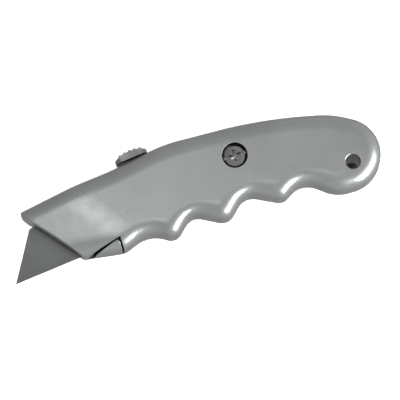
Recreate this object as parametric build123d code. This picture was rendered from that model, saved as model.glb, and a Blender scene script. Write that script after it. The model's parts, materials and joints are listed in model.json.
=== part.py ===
from build123d import *
from math import acos, atan2, cos, hypot, pi, radians, sin, tan
import os

# Retractable utility knife, lying on its right side: nose toward -X, spine toward +Y, left side up.
# The two body halves meet on a plane at half the body's thickness, and the blade lies in that plane.
# X runs along the cutting edge. All sizes are in millimetres.

# ---- driving sizes: body ----
THICKNESS = 20.0          # across both halves
WALL = 2.2                # rim wall of each half
SIDE_WALL = 2.6           # broad side of each half
EDGE_ROUND = 4.3          # outer edge round, all the way round the grip
NOSE_ROUND = 1.5          # round of the nose's front edge
TAPER_PLACE = (-38.5, 6.0)  # a point on the line where the sides bend in toward the nose
TAPER_TURN = 28.2         # degrees that line leans from straight across the knife
TAPER_BLEND = 70.0        # radius of that blend
TAPER_ANGLE = 6.0         # degrees each side leans in at the nose
REAR_X = 61.4             # centre of the butt's main arc
REAR_RADIUS = 14.9

# ---- driving sizes: blade and its travel ----
BLADE_LENGTH = 61.5
BLADE_HEIGHT = 19.0
BLADE_THICKNESS = 0.65
BLADE_END_OFFSET = 14.0   # how far each slanted end leans in
BLADE_BEVEL = 2.2         # height of the ground cutting bevel
NOTCH_SPACING = 9.6
NOTCH_WIDTH = 3.3
NOTCH_DEPTH = 2.9
BLADE_X = -51.95          # middle of the blade, fully out
BLADE_EDGE_Y = -2.8       # cutting edge
TRAVEL = 30.0             # blade out to blade hidden
DETENTS = 3
SPARE_BLADES = 5

# ---- driving sizes: thumb button ----
BUTTON_X = -19.0
BUTTON_LENGTH = 13.6
BUTTON_WIDTH = 9.6
BUTTON_BASE_Y = 26.3
BUTTON_RISE = 2.95        # arch height over the base
BUTTON_END_RISE = 1.5
BUTTON_CORNER = 2.0
RIDGES = 5
RIDGE_PITCH = 2.2
RIDGE_RADIUS = 0.65
RIDGE_PROUD = 0.55
PRESS = 0.85              # how far the button is pushed to free the detent

# ---- driving sizes: screw and lanyard hole ----
SCREW_X = 19.6
SCREW_Y = 9.9
HEAD_RADIUS = 4.7
HEAD_RIM = 1.2
HEAD_DOME = 1.1
RECESS_RADIUS = 5.25
SHANK_RADIUS = 2.5
THREAD_ENGAGED = 4.2
SCREW_RISE = 4.5          # the captive screw backs out this far
INSERT_RADIUS = 3.5
LANYARD_X = REAR_X + 1.4
LANYARD_Y = -11.3
LANYARD_RADIUS = 2.95
LANYARD_RIM = 0.6         # round of the hole's outer rims

# ---- fits ----
RUN = 0.1                 # sliding faces
PIVOT = 0.06              # turning faces
EASY = 0.3                # loose clearance
BLADE_PLAY = 0.075        # blade in the nose slot, each side

# ---- places worked out from the sizes above ----
MID = THICKNESS / 2
CEILING = THICKNESS - SIDE_WALL
BLADE_Z0 = MID - BLADE_THICKNESS / 2
BLADE_Z1 = MID + BLADE_THICKNESS / 2
BLADE_BACK_Y = BLADE_EDGE_Y + BLADE_HEIGHT
SLOT_Y0 = BLADE_EDGE_Y - 0.4
SLOT_Y1 = BLADE_BACK_Y + 0.4

# Body outline: circles (x, y, radius) in the parting plane, anticlockwise, joined by tangent lines.
# A negative radius is a hollow. The nose end runs on past the slanted front, which is cut later.
NOSE_RUN_OUT = [(-78.0, 18.05, 5.0), (-78.0, 7.0, 5.0)]
GRIP = [
    (-36.5, -1.1, 6.8),
    (-27.3, -18.2, -12.2),
    (-15.4, -6.1, 4.7),
    (-5.6, -12.0, -6.0),
    (6.8, -6.9, 5.4),
    (17.8, -13.8, -6.8),
    (31.3, -9.0, 4.7),
    (REAR_X - 21.9, -20.2, -9.0),
    (REAR_X - 2.4, -6.2, REAR_RADIUS - 0.2),
    (REAR_X, -6.3, REAR_RADIUS),
]
SPINE = [
    (REAR_X - 17.0, -24.6, 39.7),
    (-11.3, -173.7, 198.8),
    (-7.5, -34.0, 60.0),
    (-31.5, 84.6, -60.0),
]
SPINE_FRONT = [(-44.0, -35.25, 60.0)]
POCKET_FRONT_X = -45.0
POCKET_FRONT = [(POCKET_FRONT_X, 19.0, 5.8), (POCKET_FRONT_X, 1.5, 5.0)]

# Slanted front of the nose, and the pocket wall that runs parallel to it inside.
NOSE_TOP = (-66.88, 17.13)
NOSE_BOTTOM = (-54.38, -1.5)
NOSE_WALL = 9.0

# Three-cornered notch under the nose of the left half, filled by a tab on the right half.
NOTCH_CORNER = (-36.2, -2.4)
NOTCH_FRONT = (-54.5, -4.9)
NOTCH_BACK = (-36.9, -10.0)
TAB_CORNER = (-37.0, -3.1)
TAB_FRONT = (-50.6, -5.6)
TAB_BACK = (-37.7, -10.0)
TAB_CORNER_ROUND = 1.2

# Carrier: a plate under the blade and a block along its back.
PLATE_Z0 = MID - 3.0
PLATE_BOTTOM_Y = 0.5
PLATE_REAR_X = -17.0
BLOCK_FRONT_X = -55.5
BLOCK_REAR_X = -12.2
BLOCK_Y0 = BLADE_BACK_Y + RUN
BLOCK_TOP_Y = 20.9
BLOCK_Z1 = THICKNESS - PLATE_Z0
RAIL_Y = BLOCK_TOP_Y + RUN
CHANNEL_Z0 = PLATE_Z0 - RUN
CHANNEL_Z1 = BLOCK_Z1 + RUN
CHANNEL_REAR_X = BLOCK_REAR_X + TRAVEL + EASY
TROUGH_X0 = -43.0
TROUGH_X1 = BLOCK_REAR_X - 1.5
TROUGH_Y = 18.6
TROUGH_HALF = 2.15

# Button stem, the foot that keeps it in the slot, and the detent leaf under the foot's toe.
STEM_LENGTH = 6.0
STEM_HALF = 1.3
STEM_BOTTOM_Y = TROUGH_Y - 0.6
FOOT_Y0 = 19.95
FOOT_Y1 = BLOCK_TOP_Y - 0.05
FOOT_HALF = 2.0
TOE_X = -25.2
HEEL_X = -14.0
SLOT_HALF = 1.5
TRACK_Y = BUTTON_BASE_Y - PRESS - 0.15
TRACK_HALF = BUTTON_WIDTH / 2 + 0.5
LEAF_THICKNESS = 0.4
LEAF_TOP_Y = FOOT_Y0 - 0.05
LEAF_HALF = 1.9
LEAF_X0 = -46.0
LEAF_X1 = -23.5
TOOTH_X = -36.0
TOOTH_TOP_Y = 21.85
TOOTH_LENGTH = 2.2
DETENT_DEPTH = TOOTH_TOP_Y + 0.25 - RAIL_Y

# Spare blades under the carrier, held down by a sheet plate on two posts and a ledge.
SPARE_X = -16.4
SPARE_TOP_Y = 16.0
SHEET_THICKNESS = 0.7
SHEET_Z1 = CHANNEL_Z0
SHEET_Y0 = -0.6
SHEET_Z0 = SHEET_Z1 - SHEET_THICKNESS
FLOOR = min(SIDE_WALL, SHEET_Z0 - SPARE_BLADES * BLADE_THICKNESS - 0.1)
LEDGE_Y0 = SPARE_TOP_Y + 0.2
LEDGE_Y1 = BLOCK_Y0 + 0.2
EAR_POSTS = [(-15.5, -5.2), (6.6, -6.2)]
POST_RADIUS = 1.9
SPIGOT_RADIUS = 0.9

# Bosses, dowels and ribs.
RIGHT_BOSS_RADIUS = 4.5
LEFT_BOSS_RADIUS = 6.2
COUNTERBORE_RADIUS = 4.2
RING_RADIUS = 3.9
RING_Z0 = MID + 0.4
RING_THICKNESS = 0.8
GROOVE_RADIUS = 2.1
HEAD_SEAT_Z = CEILING
COUNTERBORE_Z1 = RING_Z0 + RING_THICKNESS + SCREW_RISE + 0.2
SCREW_TIP_Z = MID - 0.2 - THREAD_ENGAGED
LANYARD_BOSS_RADIUS = 5.2
DOWELS = [(-62.8, 20.0), (40.5, -3.5), (REAR_X + 6.0, 1.0)]
DOWEL_RADIUS = 1.2
DOWEL_REACH = 3.5
DOWEL_BOSS_RADIUS = 2.6
RIB_XS = [31.5, 50.5]
RIB_WIDTH = 1.2
RIB_RISE = 3.6

# The origin is under the middle of the knife's box, on the surface that it lies on.
BUTTON_TOP_Y = BUTTON_BASE_Y + BUTTON_RISE + RIDGE_PROUD
BLADE_TIP_X = BLADE_X - BLADE_LENGTH / 2
GRIP_BOTTOM_Y = min(y - abs(r) for x, y, r in GRIP if r > 0)
ORIGIN_X = (BLADE_TIP_X + REAR_X + REAR_RADIUS) / 2
ORIGIN_Y = (GRIP_BOTTOM_Y + BUTTON_TOP_Y) / 2


def belt(circles, inset=0.0):
    """Face inside a loop of circles and the tangent lines between them, moved in by inset."""
    radii = [r - inset for x, y, r in circles]
    count = len(circles)
    normals = []
    for i in range(count):
        x1, y1, _ = circles[i]
        x2, y2, _ = circles[(i + 1) % count]
        lean = (radii[i] - radii[(i + 1) % count]) / hypot(x2 - x1, y2 - y1)
        normals.append(atan2(y2 - y1, x2 - x1) - acos(lean))
    edges = []
    start = end = None
    for i in range(count):
        x, y, _ = circles[i]
        turn = (normals[i] - normals[i - 1] + pi) % (2 * pi) - pi
        angles = [normals[i - 1], normals[i - 1] + turn / 2, normals[i - 1] + turn]
        points = [(x + radii[i] * cos(a), y + radii[i] * sin(a)) for a in angles]
        if end is None:
            start = points[0]
        else:
            edges.append(Line(end, points[0]))
        edges.append(ThreePointArc(*points))
        end = points[2]
    edges.append(Line(end, start))
    return make_face(Curve() + edges)


def prism(points, z0, z1):
    """Straight-sided block over a polygon in the XY plane."""
    return Pos(0, 0, z0) * extrude(make_face(Polyline(*points, close=True)), z1 - z0)


def block(x0, x1, y0, y1, z0, z1):
    """Box between two corners."""
    return Pos((x0 + x1) / 2, (y0 + y1) / 2, (z0 + z1) / 2) * Box(x1 - x0, y1 - y0, z1 - z0)


def rod(x, y, radius, z0, z1):
    """Cylinder standing along Z."""
    return Pos(x, y, (z0 + z1) / 2) * Cylinder(radius, z1 - z0)


def nose_front_x(y, inside=0.0):
    """X of the slanted nose front at a height y, or of a plane parallel to it further in."""
    slope = (NOSE_BOTTOM[0] - NOSE_TOP[0]) / (NOSE_BOTTOM[1] - NOSE_TOP[1])
    return NOSE_TOP[0] + slope * (y - NOSE_TOP[1]) + inside


def plan_profile():
    """Section of the body across the taper's bend: flat sides that lean in toward the nose."""
    angle = radians(TAPER_ANGLE)
    far_x = -100.0
    start_x = TAPER_BLEND * tan(angle / 2)
    bend_x = start_x - TAPER_BLEND * sin(angle)
    half_x = start_x - TAPER_BLEND * sin(angle / 2)
    bend = TAPER_BLEND * (1 - cos(angle))
    half = TAPER_BLEND * (1 - cos(angle / 2))
    far = bend + (bend_x - far_x) * tan(angle)
    rear_x = 150.0
    top = THICKNESS
    edges = [
        Line((rear_x, 0), (rear_x, top)),
        Line((rear_x, top), (start_x, top)),
        ThreePointArc((start_x, top), (half_x, top - half), (bend_x, top - bend)),
        Line((bend_x, top - bend), (far_x, top - far)),
        Line((far_x, top - far), (far_x, far)),
        Line((far_x, far), (bend_x, bend)),
        ThreePointArc((bend_x, bend), (half_x, half), (start_x, 0)),
        Line((start_x, 0), (rear_x, 0)),
    ]
    return Plane.XZ * make_face(Curve() + edges)


def body_form():
    """The whole outside of the body as one solid, with its rounds."""
    outline = belt(GRIP + SPINE + SPINE_FRONT + NOSE_RUN_OUT)
    turned = Pos(*TAPER_PLACE) * Rot(0, 0, TAPER_TURN) * extrude(plan_profile(), 120, both=True)
    form = extrude(outline, THICKNESS) & turned
    rim = outline.faces()[0].outer_wire()
    edges = []
    for edge in form.edges():
        middle = edge @ 0.5
        upright = abs((edge @ 0).Z - (edge @ 1).Z) > THICKNESS / 3
        if not upright and rim.distance_to(Vector(middle.X, middle.Y, 0)) < 0.05:
            edges.append(edge)
    form = fillet(edges, EDGE_ROUND)
    high, low = 40, -20
    front = [(nose_front_x(high), high), (nose_front_x(low), low), (-120, low), (-120, high)]
    form -= prism(front, -1, THICKNESS + 1)
    face = form.faces().sort_by_distance((nose_front_x(8), 8, MID))[0]
    return fillet(face.edges(), NOSE_ROUND)


def inside_space(z0, z1):
    """Hollow of a half between two heights, one wall in from the outline."""
    return Pos(0, 0, z0) * extrude(belt(GRIP + SPINE + POCKET_FRONT, WALL), z1 - z0)


def nose_notch():
    """Three-cornered block that is cut out of the left half under the nose."""
    low_front = (NOTCH_FRONT[0], NOTCH_BACK[1])
    return prism([NOTCH_FRONT, NOTCH_CORNER, NOTCH_BACK, low_front], MID, THICKNESS + 1)


def nose_tab(form):
    """The right half's tab that fills the notch, flush with the left side, one corner rounded."""
    tab = prism([TAB_FRONT, TAB_CORNER, TAB_BACK, (TAB_FRONT[0], TAB_BACK[1])], MID, THICKNESS + 1)
    corner = tab.edges().filter_by(Axis.Z).sort_by_distance((*TAB_CORNER, MID))[0]
    return form & fillet(corner, TAB_CORNER_ROUND)


def detent_places():
    """X of each place where the detent tooth can sit."""
    step = TRAVEL / (DETENTS - 1)
    return [TOOTH_X + i * step for i in range(DETENTS)]


def blade_ways():
    """All that the blade, the carrier and the button need cut clear, both halves together."""
    play = BLADE_THICKNESS / 2 + BLADE_PLAY
    slot = block(-95, PLATE_REAR_X + TRAVEL, SLOT_Y0, SLOT_Y1, MID - play, MID + play)
    top_x = nose_front_x(RAIL_Y, NOSE_WALL)
    low_x = nose_front_x(SLOT_Y0, NOSE_WALL)
    rear = PLATE_REAR_X + TRAVEL + EASY
    plate = prism([(top_x, RAIL_Y), (rear, RAIL_Y), (rear, SLOT_Y0), (low_x, SLOT_Y0)], CHANNEL_Z0, MID)
    channel = block(top_x + 1, CHANNEL_REAR_X, BLOCK_Y0 - RUN, RAIL_Y, CHANNEL_Z0, CHANNEL_Z1)
    lug = block(-51, -44 + TRAVEL, BLADE_BACK_Y - NOTCH_DEPTH - EASY, BLOCK_Y0, MID, MID + 1.4)
    stem_x0 = BUTTON_X - STEM_LENGTH / 2 - EASY
    stem_x1 = BUTTON_X + STEM_LENGTH / 2 + EASY + TRAVEL
    stem = block(stem_x0, stem_x1, RAIL_Y - 1, BUTTON_BASE_Y + 1, MID - SLOT_HALF, MID + SLOT_HALF)
    track = block(TOE_X - 3, CHANNEL_REAR_X + 2, TRACK_Y, TRACK_Y + 5, MID - TRACK_HALF, MID + TRACK_HALF)
    ways = slot + plate + channel + lug + stem + track
    for x in detent_places():
        half = TOOTH_LENGTH / 2 + 0.25
        ways += block(x - half, x + half, RAIL_Y - 0.5, RAIL_Y + DETENT_DEPTH, MID - 2.2, MID + 2.2)
    return ways


def spine_rail(z0, z1):
    """Thicker strip inside the spine that the carrier runs along and the detents are cut in."""
    return block(POCKET_FRONT_X - 4, CHANNEL_REAR_X + 1, RAIL_Y, RAIL_Y + 3.2, z0, z1)


def cross_ribs(z0, z1):
    """Stiffening ribs across the rear of a half."""
    ribs = [block(x - RIB_WIDTH / 2, x + RIB_WIDTH / 2, -30, 30, z0, z1) for x in RIB_XS]
    return ribs[0] + ribs[1]


def lanyard_hole(half, z, inward):
    """Bore through a half, its outer rim rounded; inward is 1 or -1, from the face at z."""
    half -= rod(LANYARD_X, LANYARD_Y, LANYARD_RADIUS, -1, THICKNESS + 1)
    flare = LANYARD_RADIUS + LANYARD_RIM
    depth = z + inward * LANYARD_RIM
    rim = rod(LANYARD_X, LANYARD_Y, flare, min(z - inward, depth), max(z - inward, depth))
    return half - (rim - Pos(LANYARD_X, LANYARD_Y, depth) * Torus(flare, LANYARD_RIM))


def right_body_half(form):
    """Lower half: floor, rim, carrier rail, blade store, screw boss, posts, and the nose tab."""
    half = form & block(-100, 100, -60, 60, 0, MID)
    space = inside_space(FLOOR, MID + 1)
    half -= space
    rail_front = POCKET_FRONT_X - WALL
    parts = block(rail_front, CHANNEL_REAR_X, LEDGE_Y1, LEDGE_Y1 + 2.4, FLOOR, CHANNEL_Z0)
    parts += block(rail_front, SPARE_X + BLADE_LENGTH / 2, LEDGE_Y0, LEDGE_Y1, FLOOR, SHEET_Z0)
    parts += rod(SCREW_X, SCREW_Y, RIGHT_BOSS_RADIUS, FLOOR, MID)
    parts += rod(LANYARD_X, LANYARD_Y, LANYARD_BOSS_RADIUS, FLOOR, MID)
    parts += cross_ribs(FLOOR, FLOOR + RIB_RISE)
    parts += spine_rail(CHANNEL_Z0 - 1, MID)
    for x, y in EAR_POSTS:
        parts += rod(x, y, POST_RADIUS, FLOOR, SHEET_Z0)
        parts += rod(x, y, SPIGOT_RADIUS, SHEET_Z0, SHEET_Z1 + 0.3)
    for x, y in DOWELS[1:]:
        parts += rod(x, y, DOWEL_BOSS_RADIUS, FLOOR, MID)
    half += parts & form
    half += nose_tab(form)
    half -= blade_ways()
    half -= rod(SCREW_X, SCREW_Y, INSERT_RADIUS, SCREW_TIP_Z - 1.2, MID + 1)
    for x, y in DOWELS:
        half -= rod(x, y, DOWEL_RADIUS, MID - DOWEL_REACH, MID + 1)
    return lanyard_hole(half, 0, 1)


def left_body_half(form):
    """Upper half: the cover, with the screw recess, guide ribs and the notch under the nose."""
    half = form & block(-100, 100, -60, 60, MID, THICKNESS)
    half -= inside_space(MID - 1, CEILING)
    rail_front = POCKET_FRONT_X - WALL
    parts = block(rail_front, CHANNEL_REAR_X, BLOCK_Y0, BLOCK_Y0 + 2.4, CHANNEL_Z1, CEILING)
    for y in (3.0, 11.4):
        parts += block(rail_front, 12.0, y - 0.6, y + 0.6, BLADE_Z1 + 0.15, CEILING)
    parts += rod(SCREW_X, SCREW_Y, LEFT_BOSS_RADIUS, MID, CEILING)
    parts += rod(LANYARD_X, LANYARD_Y, LANYARD_BOSS_RADIUS, MID, CEILING)
    parts += cross_ribs(CEILING - RIB_RISE, CEILING)
    parts += spine_rail(MID, CHANNEL_Z1 + 1)
    for x, y in DOWELS[1:]:
        parts += rod(x, y, DOWEL_BOSS_RADIUS, MID, CEILING)
    half += parts & form
    half -= nose_notch()
    half -= blade_ways()
    half -= rod(SCREW_X, SCREW_Y, SHANK_RADIUS + EASY, MID - 1, THICKNESS + 1)
    half -= rod(SCREW_X, SCREW_Y, COUNTERBORE_RADIUS, MID - 1, COUNTERBORE_Z1)
    half -= rod(SCREW_X, SCREW_Y, RECESS_RADIUS, HEAD_SEAT_Z, THICKNESS + 1)
    for x, y in DOWELS:
        half -= rod(x, y, DOWEL_RADIUS + PIVOT, MID - 1, MID + DOWEL_REACH + 0.3)
    return lanyard_hole(half, THICKNESS, -1)


def utility_blade():
    """Trapezoid blade, middle of its cutting edge at the origin, with two notches in its back."""
    half = BLADE_LENGTH / 2
    back = half - BLADE_END_OFFSET
    outline_points = [(-half, 0), (half, 0), (back, BLADE_HEIGHT), (-back, BLADE_HEIGHT)]
    outline = make_face(Polyline(*outline_points, close=True))
    corners = outline.vertices().group_by(Axis.Y)[-1]
    plate = extrude(fillet(corners, 1.0), BLADE_THICKNESS)
    middle = BLADE_THICKNESS / 2
    edge = 0.04
    section = [
        (0, middle - edge), (0, middle + edge), (BLADE_BEVEL, BLADE_THICKNESS),
        (BLADE_HEIGHT, BLADE_THICKNESS), (BLADE_HEIGHT, 0), (BLADE_BEVEL, 0),
    ]
    plate &= extrude(Plane.YZ * make_face(Polyline(*section, close=True)), half + 1, both=True)
    radius = NOTCH_WIDTH / 2
    bottom = BLADE_HEIGHT - NOTCH_DEPTH + radius
    for x in (-NOTCH_SPACING / 2, NOTCH_SPACING / 2):
        plate -= rod(x, bottom, radius, -1, BLADE_THICKNESS + 1)
        plate -= block(x - radius, x + radius, bottom, BLADE_HEIGHT + 1, -1, BLADE_THICKNESS + 1)
    return plate


def blade_carrier():
    """Die-cast slide: plate under the blade, block along its back, a lug and a stop for the blade."""
    front_x = nose_front_x(PLATE_BOTTOM_Y, NOSE_WALL + 2)
    corners = [(BLOCK_FRONT_X, BLOCK_Y0), (front_x, PLATE_BOTTOM_Y), (PLATE_REAR_X, PLATE_BOTTOM_Y),
               (PLATE_REAR_X, BLOCK_Y0)]
    carrier = prism(corners, PLATE_Z0, BLADE_Z0)
    carrier += block(BLOCK_FRONT_X, BLOCK_REAR_X, BLOCK_Y0, BLOCK_TOP_Y, PLATE_Z0, BLOCK_Z1)
    lug_x = BLADE_X + NOTCH_SPACING / 2
    lug_half = NOTCH_WIDTH / 2 - EASY
    carrier += block(lug_x - lug_half, lug_x + lug_half, BLADE_BACK_Y - NOTCH_DEPTH + 0.8, BLOCK_Y0,
                     BLADE_Z0, BLADE_Z1 + 0.7)
    lean = BLADE_END_OFFSET / BLADE_HEIGHT
    stop_low = BLADE_X + BLADE_LENGTH / 2 - (PLATE_BOTTOM_Y - BLADE_EDGE_Y) * lean + EASY
    stop_high = BLADE_X + BLADE_LENGTH / 2 - BLADE_END_OFFSET + EASY
    stop = [(stop_high, BLOCK_Y0), (stop_low, PLATE_BOTTOM_Y), (PLATE_REAR_X, PLATE_BOTTOM_Y),
            (PLATE_REAR_X, BLOCK_Y0)]
    carrier += prism(stop, BLADE_Z0, BLADE_Z1 - 0.05)
    carrier -= block(TROUGH_X0, TROUGH_X1, TROUGH_Y, BLOCK_TOP_Y + 1, MID - TROUGH_HALF, MID + TROUGH_HALF)
    stem_half = STEM_LENGTH / 2 + RUN
    carrier -= block(BUTTON_X - stem_half, BUTTON_X + stem_half, STEM_BOTTOM_Y - PRESS - RUN, TROUGH_Y + 1,
                     MID - STEM_HALF - RUN, MID + STEM_HALF + RUN)
    carrier -= block(LEAF_X0, TROUGH_X0 + 1, LEAF_TOP_Y - LEAF_THICKNESS, LEAF_TOP_Y,
                     MID - LEAF_HALF, MID + LEAF_HALF)
    return carrier


def detent_spring():
    """Spring leaf held in the carrier, with a raised tooth that drops into the spine's detents."""
    low = LEAF_TOP_Y - LEAF_THICKNESS
    leaf = block(LEAF_X0, LEAF_X1, low, LEAF_TOP_Y, MID - LEAF_HALF, MID + LEAF_HALF)
    half = TOOTH_LENGTH / 2
    outer = [(TOOTH_X - half - 0.6, LEAF_TOP_Y), (TOOTH_X - half + 0.5, TOOTH_TOP_Y),
             (TOOTH_X + half - 0.5, TOOTH_TOP_Y), (TOOTH_X + half + 0.6, LEAF_TOP_Y)]
    inner = [(TOOTH_X - half, low), (TOOTH_X - half + 0.9, TOOTH_TOP_Y - LEAF_THICKNESS),
             (TOOTH_X + half - 0.9, TOOTH_TOP_Y - LEAF_THICKNESS), (TOOTH_X + half, low)]
    leaf += prism(outer, MID - LEAF_HALF, MID + LEAF_HALF)
    leaf -= prism(inner, MID - LEAF_HALF - 1, MID + LEAF_HALF + 1)
    return leaf


def thumb_button():
    """Ridged cap, a stem through the spine's slot, and a foot that the slot's edges hold in."""
    half = BUTTON_LENGTH / 2
    base = BUTTON_BASE_Y
    arch = [
        Line((BUTTON_X - half, base), (BUTTON_X - half, base + BUTTON_END_RISE)),
        ThreePointArc((BUTTON_X - half, base + BUTTON_END_RISE), (BUTTON_X, base + BUTTON_RISE),
                      (BUTTON_X + half, base + BUTTON_END_RISE)),
        Line((BUTTON_X + half, base + BUTTON_END_RISE), (BUTTON_X + half, base)),
        Line((BUTTON_X + half, base), (BUTTON_X - half, base)),
    ]
    side = BUTTON_WIDTH / 2
    cap = Pos(0, 0, MID - side) * extrude(make_face(Curve() + arch), BUTTON_WIDTH)
    for i in range(RIDGES):
        out = (i - (RIDGES - 1) / 2) * RIDGE_PITCH
        crest = base + BUTTON_RISE - (BUTTON_RISE - BUTTON_END_RISE) * (out / half) ** 2 + RIDGE_PROUD
        cap += rod(BUTTON_X + out, crest - RIDGE_RADIUS, RIDGE_RADIUS, MID - side, MID + side)
    cut = BUTTON_CORNER
    plan = [(-half, -side + cut), (-half + cut, -side), (half - cut, -side), (half, -side + cut),
            (half, side - cut), (half - cut, side), (-half + cut, side), (-half, side - cut)]
    plan_face = make_face(Polyline(*[(BUTTON_X + x, MID + z) for x, z in plan], close=True))
    cap &= extrude(Plane.XZ * plan_face, 60, both=True)
    stem_half = STEM_LENGTH / 2
    cap += block(BUTTON_X - stem_half, BUTTON_X + stem_half, STEM_BOTTOM_Y, base,
                 MID - STEM_HALF, MID + STEM_HALF)
    cap += block(TOE_X, HEEL_X, FOOT_Y0, FOOT_Y1, MID - FOOT_HALF, MID + FOOT_HALF)
    return cap


def magazine_plate():
    """Sheet plate over the spare blades, with two ears on posts and a hole to push the blades by."""
    front = POCKET_FRONT_X - 3.8 + WALL
    sheet = block(front, SPARE_X + BLADE_LENGTH / 2 - 1, SHEET_Y0, LEDGE_Y1 - RUN, SHEET_Z0, SHEET_Z1)
    for x, y in EAR_POSTS:
        sheet += block(x - POST_RADIUS, x + POST_RADIUS, y, 0, SHEET_Z0, SHEET_Z1)
        sheet += rod(x, y, POST_RADIUS, SHEET_Z0, SHEET_Z1)
        sheet -= rod(x, y, SPIGOT_RADIUS + PIVOT, SHEET_Z0 - 1, SHEET_Z1 + 1)
    for x in (-36.0, -2.0):
        sheet -= rod(x, 7.0, 4.5, SHEET_Z0 - 1, SHEET_Z1 + 1)
    return sheet


def body_screw():
    """Captive screw: domed head with a slot and a cross, a ring groove, and its thread's core."""
    seat = HEAD_SEAT_Z
    dome_radius = (HEAD_RADIUS ** 2 + HEAD_DOME ** 2) / (2 * HEAD_DOME)
    top = seat + HEAD_RIM + HEAD_DOME
    head = rod(0, 0, HEAD_RADIUS, seat, top) & (Pos(0, 0, top - dome_radius) * Sphere(dome_radius))
    head += rod(0, 0, SHANK_RADIUS, SCREW_TIP_Z, seat)
    groove = rod(0, 0, SHANK_RADIUS + 1, RING_Z0 - 0.05, RING_Z0 + RING_THICKNESS + 0.05)
    head -= groove - rod(0, 0, GROOVE_RADIUS, MID, CEILING)
    turned = Rot(0, 0, -5)
    head -= turned * block(-HEAD_RADIUS, HEAD_RADIUS, -0.6, 0.6, top - 1.1, top + 1)
    head -= turned * block(-2.4, 2.4, -0.65, 0.65, top - 1.7, top + 1)
    head -= turned * block(-0.65, 0.65, -2.4, 2.4, top - 1.7, top + 1)
    return Pos(SCREW_X, SCREW_Y, 0) * chamfer(head.edges().group_by(Axis.Z)[0], 0.5)


def screw_retaining_ring():
    """C-shaped ring in the screw's groove that keeps the screw in the left half."""
    z1 = RING_Z0 + RING_THICKNESS
    ring = rod(0, 0, RING_RADIUS, RING_Z0, z1) - rod(0, 0, GROOVE_RADIUS + PIVOT, RING_Z0 - 1, z1 + 1)
    ring -= block(0, RING_RADIUS + 1, -1.5, 1.5, RING_Z0 - 1, z1 + 1)
    return Pos(SCREW_X, SCREW_Y, 0) * ring


def screw_insert():
    """Threaded insert pressed into the right half's boss."""
    z0 = SCREW_TIP_Z - 0.8
    z1 = MID - 0.2
    insert = rod(0, 0, INSERT_RADIUS, z0, z1) - rod(0, 0, SHANK_RADIUS + PIVOT, z0 - 1, z1 + 1)
    middle = (z0 + z1) / 2
    groove = rod(0, 0, INSERT_RADIUS + 1, middle - 0.5, middle + 0.5)
    insert -= groove - rod(0, 0, INSERT_RADIUS - 0.3, middle - 1, middle + 1)
    return Pos(SCREW_X, SCREW_Y, 0) * insert


def locating_pins():
    """Dowels pressed into the right half that line up the left half."""
    pins = Part()
    for x, y in DOWELS:
        pin = rod(x, y, DOWEL_RADIUS, MID - DOWEL_REACH, MID + DOWEL_REACH)
        pins += chamfer(pin.edges().filter_by(GeomType.CIRCLE), 0.25)
    return pins


def spare_blade(number):
    """One stored blade, lying the other way up in the stack."""
    z = FLOOR + number * BLADE_THICKNESS
    return Pos(SPARE_X, SPARE_TOP_Y, z) * Rot(0, 0, 180) * utility_blade()


def all_parts():
    """Every piece by its name, in place."""
    form = body_form()
    parts = {
        "right_body_half": right_body_half(form),
        "left_body_half": left_body_half(form),
        "blade_carrier": blade_carrier(),
        "detent_spring": detent_spring(),
        "thumb_button": thumb_button(),
        "blade": Pos(BLADE_X, BLADE_EDGE_Y, BLADE_Z0) * utility_blade(),
        "magazine_plate": magazine_plate(),
        "body_screw": body_screw(),
        "screw_retaining_ring": screw_retaining_ring(),
        "screw_insert": screw_insert(),
        "locating_pins": locating_pins(),
    }
    for i in range(SPARE_BLADES):
        parts[f"spare_blade_{i + 1}"] = spare_blade(i)
    return parts


os.makedirs("parts", exist_ok=True)
for name, shape in all_parts().items():
    export_step(Pos(-ORIGIN_X, -ORIGIN_Y, 0) * shape, f"parts/{name}.step")
print(f"origin of the knife's frame: x {ORIGIN_X:.3f}, y {ORIGIN_Y:.3f}")
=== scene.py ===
import json
import math

import bmesh
import bpy
from mathutils import Matrix, Vector

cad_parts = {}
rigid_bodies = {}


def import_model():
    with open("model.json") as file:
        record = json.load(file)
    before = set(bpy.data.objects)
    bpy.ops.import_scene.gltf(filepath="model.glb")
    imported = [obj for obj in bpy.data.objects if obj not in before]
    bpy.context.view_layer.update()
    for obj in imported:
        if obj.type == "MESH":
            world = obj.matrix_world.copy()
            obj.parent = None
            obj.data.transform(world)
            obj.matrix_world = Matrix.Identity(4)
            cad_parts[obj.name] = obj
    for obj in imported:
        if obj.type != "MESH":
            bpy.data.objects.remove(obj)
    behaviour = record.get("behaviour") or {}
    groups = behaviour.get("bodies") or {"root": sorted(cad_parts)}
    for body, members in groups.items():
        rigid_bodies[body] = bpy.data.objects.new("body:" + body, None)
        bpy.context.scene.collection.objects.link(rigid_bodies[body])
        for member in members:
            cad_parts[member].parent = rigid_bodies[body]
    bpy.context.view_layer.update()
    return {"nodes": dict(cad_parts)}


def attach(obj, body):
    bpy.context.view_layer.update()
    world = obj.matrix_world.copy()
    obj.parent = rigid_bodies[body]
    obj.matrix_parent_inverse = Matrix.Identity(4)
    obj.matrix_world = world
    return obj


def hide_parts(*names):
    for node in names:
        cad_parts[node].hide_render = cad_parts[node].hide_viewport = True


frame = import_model()

# Retractable utility knife: finishes for the CAD nodes, and smoother outsides for the two body halves.
# Sizes are in millimetres and angles in degrees unless a comment says otherwise.
MM = 0.001
nodes = frame["nodes"]


# ---------------------------------------------------------------- node helpers
def new_material(name):
    """Empty node material with a Principled shader; returns (material, nodes, links, shader)."""
    material = bpy.data.materials.new(name)
    material.use_nodes = True
    tree = material.node_tree
    return material, tree.nodes, tree.links, tree.nodes["Principled BSDF"]


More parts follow.
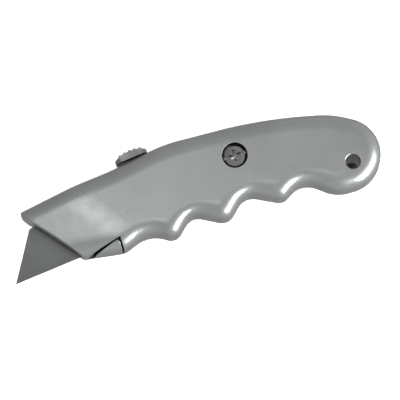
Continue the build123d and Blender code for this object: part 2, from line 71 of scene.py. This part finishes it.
def object_coords(tree_nodes, links, scale=(1, 1, 1)):
    """Object coordinates, scaled per axis, in metres times scale."""
    coords = tree_nodes.new("ShaderNodeTexCoord")
    mapping = tree_nodes.new("ShaderNodeMapping")
    mapping.inputs["Scale"].default_value = scale
    links.new(coords.outputs["Object"], mapping.inputs["Vector"])
    return mapping.outputs["Vector"]


def noise(tree_nodes, links, vector, scale, detail=3.0, roughness=0.5):
    """Noise texture's factor output."""
    node = tree_nodes.new("ShaderNodeTexNoise")
    node.inputs["Scale"].default_value = scale
    node.inputs["Detail"].default_value = detail
    node.inputs["Roughness"].default_value = roughness
    links.new(vector, node.inputs["Vector"])
    return node.outputs["Fac"]


def ramp(tree_nodes, links, factor, stops):
    """Colour ramp over (position, grey or colour) stops."""
    node = tree_nodes.new("ShaderNodeValToRGB")
    while len(node.color_ramp.elements) < len(stops):
        node.color_ramp.elements.new(0.5)
    for element, (place, colour) in zip(node.color_ramp.elements, stops):
        element.position = place
        if not isinstance(colour, tuple):
            colour = (colour, colour, colour)
        element.color = (*colour, 1.0)
    links.new(factor, node.inputs["Fac"])
    return node.outputs["Color"]


def multiply(tree_nodes, links, first, second):
    """Product of two colour sockets."""
    node = tree_nodes.new("ShaderNodeMix")
    node.data_type = "RGBA"
    node.blend_type = "MULTIPLY"
    factor, colour_a, colour_b = node.inputs[0], node.inputs[6], node.inputs[7]
    factor.default_value = 1.0
    links.new(first, colour_a)
    links.new(second, colour_b)
    return node.outputs[2]


def bump(tree_nodes, links, height, strength, distance, normal=None):
    """Bump node's normal; distance in mm."""
    node = tree_nodes.new("ShaderNodeBump")
    node.inputs["Strength"].default_value = strength
    node.inputs["Distance"].default_value = distance * MM
    links.new(height, node.inputs["Height"])
    if normal is not None:
        links.new(normal, node.inputs["Normal"])
    return node.outputs["Normal"]


def painted_crevice_shade(tree_nodes, links, colour, reach, stops):
    """Colour darkened by painted shade where other surfaces are within reach, in mm."""
    node = tree_nodes.new("ShaderNodeAmbientOcclusion")
    node.samples = CREVICE_SAMPLES
    node.inputs["Distance"].default_value = reach * MM
    shade = ramp(tree_nodes, links, node.outputs["AO"], stops)
    return multiply(tree_nodes, links, colour, shade)


# ---------------------------------------------------------------- materials
PAINT_DARK = (0.222, 0.230, 0.230)
PAINT_LIGHT = (0.250, 0.259, 0.258)
EDGE_SOFTNESS = 0.25
EDGE_SAMPLES = 6
CREVICE_SAMPLES = 8


def silver_paint():
    """Satin silver paint over a die casting: fine flake, orange peel, cloudy tone and dark specks."""
    material, n, links, shader = new_material("silver_paint")
    place = object_coords(n, links)
    cloud = noise(n, links, place, 38, 4)
    flake = noise(n, links, place, 5200, 2, 0.7)
    specks = noise(n, links, place, 420, 2, 0.4)
    tone = ramp(n, links, cloud, [(0.3, PAINT_DARK), (0.7, PAINT_LIGHT)])
    sparkle = ramp(n, links, flake, [(0.35, 0.93), (0.65, 1.05)])
    grime = ramp(n, links, specks, [(0.20, 0.72), (0.27, 1.0)])
    colour = multiply(n, links, tone, sparkle)
    colour = multiply(n, links, colour, grime)
    # Painted shade: the paint's colour darkens in crevices, recesses and the lanyard hole.
    links.new(painted_crevice_shade(n, links, colour, 8, [(0.45, 0.03), (0.8, 1.0)]), shader.inputs["Base Color"])
    shader.inputs["Metallic"].default_value = 0.85
    rough = ramp(n, links, noise(n, links, place, 160, 3), [(0.3, 0.29), (0.7, 0.34)])
    links.new(rough, shader.inputs["Roughness"])
    edges = n.new("ShaderNodeBevel")
    edges.samples = EDGE_SAMPLES
    edges.inputs["Radius"].default_value = EDGE_SOFTNESS * MM
    waves = bump(n, links, noise(n, links, place, 110, 2), 0.05, 0.4, edges.outputs["Normal"])
    peel = bump(n, links, noise(n, links, place, 900, 2), 0.045, 0.4, waves)
    grain = bump(n, links, flake, 0.06, 0.1, peel)
    links.new(grain, shader.inputs["Normal"])
    return material


def brushed(name, dark, light, rough, scale=(1, 40, 40)):
    """Metal with fine streaks; scale squeezes the noise across them."""
    material, n, links, shader = new_material(name)
    place = object_coords(n, links, scale)
    streaks = noise(n, links, place, 90, 5, 0.6)
    blotch = noise(n, links, object_coords(n, links), 60, 3)
    tone = ramp(n, links, streaks, [(0.25, dark), (0.75, light)])
    patches = ramp(n, links, blotch, [(0.3, 0.9), (0.7, 1.06)])
    colour = multiply(n, links, tone, patches)
    # Painted shade: the steel's colour darkens in crevices and where parts meet.
    links.new(painted_crevice_shade(n, links, colour, 4, [(0.3, 0.25), (0.8, 1.0)]), shader.inputs["Base Color"])
    shader.inputs["Metallic"].default_value = 1.0
    shine = ramp(n, links, streaks, [(0.2, rough - 0.06), (0.8, rough + 0.08)])
    links.new(shine, shader.inputs["Roughness"])
    links.new(bump(n, links, streaks, 0.08, 0.2), shader.inputs["Normal"])
    return material


def plated(name, colour, rough, pitting=0.1):
    """Plated or tumbled metal with small pits and uneven shine."""
    material, n, links, shader = new_material(name)
    place = object_coords(n, links)
    pits = noise(n, links, place, 1500, 3, 0.6)
    patches = noise(n, links, place, 220, 3)
    darker = tuple(0.8 * c for c in colour)
    tone = ramp(n, links, patches, [(0.3, darker), (0.65, colour)])
    # Painted shade: the metal's colour darkens in small crevices and recesses.
    links.new(painted_crevice_shade(n, links, tone, 2, [(0.3, 0.4), (0.7, 1.0)]), shader.inputs["Base Color"])
    shader.inputs["Metallic"].default_value = 1.0
    shine = ramp(n, links, patches, [(0.3, rough + 0.08), (0.7, rough - 0.03)])
    links.new(shine, shader.inputs["Roughness"])
    links.new(bump(n, links, pits, pitting, 0.2), shader.inputs["Normal"])
    return material


def floor_material():
    """Plain matt white paper."""
    material, n, links, shader = new_material("floor_paper")
    place = object_coords(n, links)
    grain = noise(n, links, place, 800, 3)
    links.new(ramp(n, links, grain, [(0.3, 0.90), (0.7, 0.94)]), shader.inputs["Base Color"])
    shader.inputs["Roughness"].default_value = 0.95
    shader.inputs["Specular IOR Level"].default_value = 0.1
    return material


paint = silver_paint()
blade_steel = brushed("blade_steel", (0.112, 0.117, 0.117), (0.148, 0.153, 0.153), 0.40, (30, 4, 30))
zinc = plated("cast_zinc", (0.36, 0.36, 0.37), 0.5)
button_metal = plated("button_metal", (0.26, 0.26, 0.26), 0.36)
chrome = plated("screw_chrome", (0.29, 0.29, 0.285), 0.10, pitting=0.25)
spring_steel = brushed("spring_steel", (0.22, 0.22, 0.25), (0.3, 0.3, 0.33), 0.35)
sheet_steel = brushed("sheet_steel", (0.45, 0.45, 0.45), (0.55, 0.55, 0.55), 0.4, (3, 60, 3))
insert_brass = plated("insert_brass", (0.75, 0.55, 0.25), 0.35)

FINISHES = {
    "right_body_half": paint,
    "left_body_half": paint,
    "blade": blade_steel,
    "blade_carrier": zinc,
    "detent_spring": spring_steel,
    "thumb_button": button_metal,
    "magazine_plate": sheet_steel,
    "body_screw": chrome,
    "screw_retaining_ring": spring_steel,
    "screw_insert": insert_brass,
    "locating_pins": spring_steel,
}
for name, obj in nodes.items():
    finish = FINISHES.get(name, blade_steel)
    obj.data.materials.clear()
    obj.data.materials.append(finish)

# ---------------------------------------------------------------- smoother body halves
# The body's outline is a belt round these circles (x, y, radius), negative radii for the finger
# grooves, in the part's own coordinates, whose zero is at WORK_ORIGIN in the row frame. A round
# ROUND_WIDTH across and ROUND_HEIGHT high runs from it up to the flat sides.
# The boolean in smoother_half is sensitive to rounding: in single precision or in another order these sums
# can give an empty cover.
WORK_ORIGIN = (3.2, -4.3)
OUTLINE = [
    (-36.5, -1.1, 6.8), (-27.3, -18.2, -12.2), (-15.4, -6.1, 4.7), (-5.6, -12.0, -6.0),
    (6.8, -6.9, 5.4), (17.8, -13.8, -6.8), (31.3, -9.0, 4.7), (39.5, -20.2, -9.0),
    (59.0, -6.2, 14.7), (61.4, -6.3, 14.9), (44.4, -24.6, 39.7), (-11.3, -173.7, 198.8),
    (-7.5, -34.0, 60.0), (-31.5, 84.6, -60.0), (-44.0, -35.25, 60.0), (-78.0, 18.05, 5.0),
    (-78.0, 7.0, 5.0),
]
MIDDLE_Z = 10.0        # parting plane
HALF_THICKNESS = 10.0
ROUND_WIDTH = 8.2
ROUND_HEIGHT = 6.5
ROUND_EASE = 3.0       # 2 is an ellipse, more stays closer to the corner
ROUND_SPREAD = 5.0     # how far the round's inner line is averaged along the outline
SKIN = 0.02            # how far the rounded body stands outside the CAD body
ARC_STEP = 0.1         # length of the pieces that arcs are cut in
STEP = 0.5             # between points round the outline
LEVELS = 14            # steps up the round
# Past a diagonal line through TAPER_PLACE the flat sides lean in toward the nose.
TAPER_PLACE = (-38.5, 6.0)
TAPER_TURN = 28.2
TAPER_SHIFT = 0.5
TAPER_ANGLE = 7.0
TAPER_BLEND = 110.0    # radius of the blend between the flat and the leaning part
STRIP_WIDTH = 0.8      # the flat sides are cut in strips this wide across the bend
STRIPS = range(-9, 11)
WELD = 1e-7            # metres
SHARP_ANGLE = 24
FLAT_FACE_WEIGHT = 90  # large faces lead in the shading


def belt_points(circles, step):
    """Evenly spaced points on a loop of circles and their tangent lines, with outward normals."""
    count = len(circles)
    angles = []
    for i in range(count):
        x1, y1, r1 = circles[i]
        x2, y2, r2 = circles[(i + 1) % count]
        lean = (r1 - r2) / math.hypot(x2 - x1, y2 - y1)
        angles.append(math.atan2(y2 - y1, x2 - x1) - math.acos(lean))
    path = []
    for i in range(count):
        x, y, r = circles[i]
        turn = (angles[i] - angles[i - 1] + math.pi) % (2 * math.pi) - math.pi
        pieces = max(2, math.ceil(abs(turn * r) / ARC_STEP))
        for k in range(pieces + 1):
            a = angles[i - 1] + turn * k / pieces
            path.append((x + r * math.cos(a), y + r * math.sin(a), math.cos(a), math.sin(a)))
    points = []
    carried = 0.0
    for i, start in enumerate(path):
        end = path[(i + 1) % len(path)]
        length = math.hypot(end[0] - start[0], end[1] - start[1])
        while carried < length:
            t = carried / length
            x, y, nx, ny = (a + t * (b - a) for a, b in zip(start, end))
            size = math.hypot(nx, ny)
            points.append((Vector((x, y)), Vector((nx / size, ny / size))))
            carried += step
        carried -= length
    return points


def smoothed(line, spread):
    """Closed line of points averaged with bell-shaped weights over neighbours."""
    reach = int(3 * spread)
    weights = [math.exp(-0.5 * (k / spread) ** 2) for k in range(-reach, reach + 1)]
    total = sum(weights)
    count = len(line)
    result = []
    for i in range(count):
        place = Vector((0.0, 0.0))
        for k, weight in zip(range(-reach, reach + 1), weights):
            place += line[(i + k) % count] * weight
        result.append(place / total)
    return result


def side_drop(x, y):
    """How far the flat side has leaned in at a point, past the diagonal bend at the nose."""
    lean = math.radians(TAPER_ANGLE)
    turn = math.radians(TAPER_TURN)
    past = -(x - TAPER_PLACE[0]) * math.cos(turn) - (y - TAPER_PLACE[1]) * math.sin(turn) - TAPER_SHIFT
    start = TAPER_BLEND * math.tan(lean / 2)
    along = past + start
    if along <= 0:
        return 0.0
    if along < TAPER_BLEND * math.sin(lean):
        return TAPER_BLEND - math.sqrt(TAPER_BLEND ** 2 - along ** 2)
    return past * math.tan(lean)


def rounded_body():
    """Closed mesh object of the whole body, a hair outside the CAD body but with wider rounds."""
    rim = belt_points(OUTLINE, STEP)
    inner = smoothed([p - n * ROUND_WIDTH for p, n in rim], ROUND_SPREAD / STEP)
    outer = [p + n * SKIN for p, n in rim]
    mesh = bmesh.new()

    def ring(side, angle):
        """Vertices round the body at one level; side is 1 above the parting plane, -1 below."""
        verts = []
        for p, q in zip(outer, inner):
            spot = p.lerp(q, 1 - max(0.0, math.cos(angle)) ** (2 / ROUND_EASE))
            rise = HALF_THICKNESS + SKIN - side_drop(spot.x, spot.y) - ROUND_HEIGHT * (1 - math.sin(angle))
            place = (spot.x + WORK_ORIGIN[0], spot.y + WORK_ORIGIN[1], MIDDLE_Z + side * rise)
            verts.append(mesh.verts.new(Vector(place) * MM))
        return verts

    turns = [math.pi / 2 * level / LEVELS for level in range(LEVELS + 1)]
    rings = [ring(-1, angle) for angle in reversed(turns)] + [ring(1, angle) for angle in turns]
    count = len(outer)
    for low, high in zip(rings, rings[1:]):
        for i in range(count):
            j = (i + 1) % count
            mesh.faces.new((low[i], low[j], high[j], high[i]))
    for side, edge_ring in ((-1, rings[0]), (1, rings[-1])):
        flat_side(mesh, mesh.faces.new(edge_ring), side)
    bmesh.ops.recalc_face_normals(mesh, faces=mesh.faces)
    data = bpy.data.meshes.new("rounded_body")
    mesh.to_mesh(data)
    mesh.free()
    return bpy.data.objects.new("rounded_body", data)


def flat_side(mesh, cap, side):
    """Cuts a flat cap into strips along the nose bend and lays them on the leaning side."""
    turn = math.radians(TAPER_TURN)
    toward_nose = Vector((-math.cos(turn), -math.sin(turn), 0))
    pivot = Vector((TAPER_PLACE[0] + WORK_ORIGIN[0], TAPER_PLACE[1] + WORK_ORIGIN[1], 0)) * MM
    faces = [cap]
    for k in STRIPS:
        edges = {e for f in faces for e in f.edges}
        verts = {v for f in faces for v in f.verts}
        place = pivot + toward_nose * (k * STRIP_WIDTH * MM)
        cut = bmesh.ops.bisect_plane(mesh, geom=[*faces, *edges, *verts], dist=WELD,
                                     plane_co=place, plane_no=toward_nose)
        faces = list({g for g in cut["geom"] + cut["geom_cut"] if isinstance(g, bmesh.types.BMFace)})
    for v in {v for f in faces for v in f.verts}:
        x = v.co.x / MM - WORK_ORIGIN[0]
        y = v.co.y / MM - WORK_ORIGIN[1]
        v.co.z = (MIDDLE_Z + side * (HALF_THICKNESS + SKIN - side_drop(x, y))) * MM


def smoother_half(node, body):
    """The CAD half with its outside cut back to the wider rounds, as a new piece on the body."""
    source = nodes[node]
    outside = rounded_body()
    scene_objects = bpy.context.scene.collection.objects
    scene_objects.link(outside)
    copy = source.copy()
    copy.data = source.data.copy()
    scene_objects.link(copy)
    cut = copy.modifiers.new("rounds", "BOOLEAN")
    cut.operation = "INTERSECT"
    cut.solver = "EXACT"
    cut.object = outside
    bpy.context.view_layer.update()
    graph = bpy.context.evaluated_depsgraph_get()
    data = bpy.data.meshes.new_from_object(copy.evaluated_get(graph))
    matrix = copy.matrix_world.copy()
    bpy.data.objects.remove(copy)
    bpy.data.objects.remove(outside)
    piece = bpy.data.objects.new(node + "_finished", data)
    piece.matrix_world = matrix
    scene_objects.link(piece)
    for layer in [a for a in data.attributes if a.name == "custom_normal"]:
        data.attributes.remove(layer)
    for polygon in data.polygons:
        polygon.use_smooth = True
    data.set_sharp_from_angle(angle=math.radians(SHARP_ANGLE))
    weighted = piece.modifiers.new("shading", "WEIGHTED_NORMAL")
    weighted.keep_sharp = True
    weighted.weight = FLAT_FACE_WEIGHT
    data.materials.clear()
    data.materials.append(paint)
    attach(piece, body)
    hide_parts(node)


smoother_half("left_body_half", "cover")
smoother_half("right_body_half", "handle")

# ---------------------------------------------------------------- stage
# Azimuths go from -Y toward +X. Distances and sizes of lights and floor are in metres, powers in watts.
KNIFE_MIDDLE = Vector((*WORK_ORIGIN, MIDDLE_Z)) * MM
CAMERA_AZIMUTH = -23.1
CAMERA_ELEVATION = 80.0
CAMERA_DISTANCE = 1.6
VIEW_WIDTH = 163.3 * MM
SENSOR = 36.0
LIGHT_DISTANCE = 1.0
FLOOR_LIGHT_AZIMUTHS = (0, 90, 180, 270)
FLOOR_LIGHT_ELEVATION = 40
FLOOR_LIGHT_STRENGTH = 1.9
FLOOR_LIGHT_ANGLE = 20
FLOOR_HALF = 3.0
FLOOR_Z = -0.03 * MM   # just under the knife, so that their faces don't coincide
SKY_BY_HEIGHT = [(0.0, 0.3), (0.5, 0.76), (0.75, 0.62), (1.0, 0.54)]
SKY_ACROSS = [(0.0, 0.60), (0.35, 1.07), (0.65, 1.1), (1.0, 1.3)]
SKY_BRIGHT_AZIMUTH = 45


def direction(azimuth, elevation):
    """Unit vector toward a place at that azimuth and height."""
    a, e = math.radians(azimuth), math.radians(elevation)
    return Vector((math.sin(a) * math.cos(e), -math.cos(a) * math.cos(e), math.sin(e)))


def aim(obj, place, target):
    """Puts obj at place, looking at target with its top toward +Z."""
    obj.location = place
    obj.rotation_euler = (target - place).to_track_quat("-Z", "Y").to_euler()


def area_light(name, azimuth, elevation, width, height, power):
    """Rectangular soft light aimed at the knife."""
    data = bpy.data.lights.new(name, "AREA")
    data.shape = "RECTANGLE"
    data.size = width
    data.size_y = height
    data.energy = power
    obj = bpy.data.objects.new(name, data)
    bpy.context.scene.collection.objects.link(obj)
    aim(obj, KNIFE_MIDDLE + direction(azimuth, elevation) * LIGHT_DISTANCE, KNIFE_MIDDLE)


def floor_light(azimuth):
    """Broad sun for the floor and matt surfaces only; it doesn't show in the metal."""
    data = bpy.data.lights.new("floor_light", "SUN")
    data.energy = FLOOR_LIGHT_STRENGTH
    data.angle = math.radians(FLOOR_LIGHT_ANGLE)
    obj = bpy.data.objects.new("floor_light", data)
    bpy.context.scene.collection.objects.link(obj)
    aim(obj, KNIFE_MIDDLE + direction(azimuth, FLOOR_LIGHT_ELEVATION) * LIGHT_DISTANCE, KNIFE_MIDDLE)
    obj.visible_glossy = False


def make_floor():
    """Large white sheet under the knife, which doesn't show in the metal."""
    half, low = FLOOR_HALF, FLOOR_Z
    corners = [(-half, -half, low), (half, -half, low), (half, half, low), (-half, half, low)]
    mesh = bpy.data.meshes.new("floor")
    mesh.from_pydata(corners, [], [(0, 1, 2, 3)])
    floor = bpy.data.objects.new("floor", mesh)
    floor.data.materials.append(floor_material())
    bpy.context.scene.collection.objects.link(floor)
    floor.visible_glossy = False


def make_camera():
    """Long lens, almost square on to the knife's side."""
    data = bpy.data.cameras.new("camera")
    data.sensor_width = SENSOR
    data.lens = SENSOR * CAMERA_DISTANCE / VIEW_WIDTH
    data.clip_end = 10
    camera = bpy.data.objects.new("camera", data)
    bpy.context.scene.collection.objects.link(camera)
    back = direction(CAMERA_AZIMUTH, CAMERA_ELEVATION)
    azimuth = math.radians(CAMERA_AZIMUTH)
    right = Vector((math.cos(azimuth), math.sin(azimuth), 0))
    up = back.cross(right)
    turn = Matrix((right, up, back)).transposed().to_4x4()
    camera.matrix_world = Matrix.Translation(KNIFE_MIDDLE + back * CAMERA_DISTANCE) @ turn
    bpy.context.scene.camera = camera


def make_world():
    """Pale surroundings: brightest at the horizon and to the lower right, dimmest below."""
    world = bpy.data.worlds.new("studio")
    world.use_nodes = True
    n = world.node_tree.nodes
    links = world.node_tree.links
    coords = n.new("ShaderNodeTexCoord")

    def facing(azimuth, elevation, stops):
        """Ramp from its first stop, facing away from a direction, to its last, facing it."""
        dot = n.new("ShaderNodeVectorMath")
        dot.operation = "DOT_PRODUCT"
        dot.inputs[1].default_value = direction(azimuth, elevation)
        links.new(coords.outputs["Generated"], dot.inputs[0])
        half = n.new("ShaderNodeMath")
        half.operation = "MULTIPLY_ADD"
        half.inputs[1].default_value = 0.5
        half.inputs[2].default_value = 0.5
        links.new(dot.outputs["Value"], half.inputs[0])
        return ramp(n, links, half.outputs["Value"], stops)

    overhead = facing(0, 90, SKY_BY_HEIGHT)
    across = facing(SKY_BRIGHT_AZIMUTH, 0, SKY_ACROSS)
    total = multiply(n, links, overhead, across)
    background = n["Background"]
    links.new(total, background.inputs["Color"])
    background.inputs["Strength"].default_value = 1.0
    bpy.context.scene.world = world


make_floor()
make_camera()
make_world()
area_light("key_low_right", 41, 26, 0.95, 0.48, 28)
area_light("nose_light", -134, 81, 0.14, 0.14, 0.66)
for light_azimuth in FLOOR_LIGHT_AZIMUTHS:
    floor_light(light_azimuth)
view = bpy.context.scene.view_settings
view.view_transform = "Standard"
view.look = "None"
view.exposure = 0.0
view.gamma = 1.0
